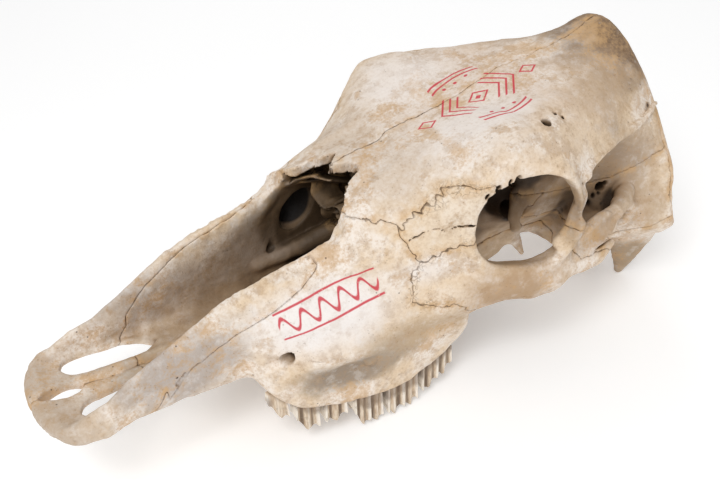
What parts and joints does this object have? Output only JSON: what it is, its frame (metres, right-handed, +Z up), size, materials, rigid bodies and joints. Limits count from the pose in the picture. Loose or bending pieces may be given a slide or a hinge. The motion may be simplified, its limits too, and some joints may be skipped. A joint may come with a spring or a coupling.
{
  "type": "cow skull",
  "caption": "Life-size cow skull without the lower jaw, parted into its bones, with worn cheek teeth, open nose and eye sockets, at rest on its teeth.",
  "frame": {"origin": "on the floor, under the middle of the skull's bounding box", "axes": "+Z up from the floor; the nose points to -X and the back of the skull to +X; the skull's own left side is -Y"},
  "size_m": [0.4722, 0.1998, 0.1996],
  "materials": {
    "bone": "dry weathered bone, ivory with tan and grey stains"
  },
  "bodies": {
    "root": {"premaxilla_left": "bone", "premaxilla_right": "bone", "maxilla_left": "bone", "maxilla_right": "bone", "lacrimal_left": "bone", "lacrimal_right": "bone", "zygomatic_left": "bone", "zygomatic_right": "bone", "frontal_left": "bone", "frontal_right": "bone", "temporal_left": "bone", "temporal_right": "bone", "palatine_left": "bone", "palatine_right": "bone", "vomer": "bone", "ethmoid": "bone", "occipital": "bone"}
  },
  "joints": []
}
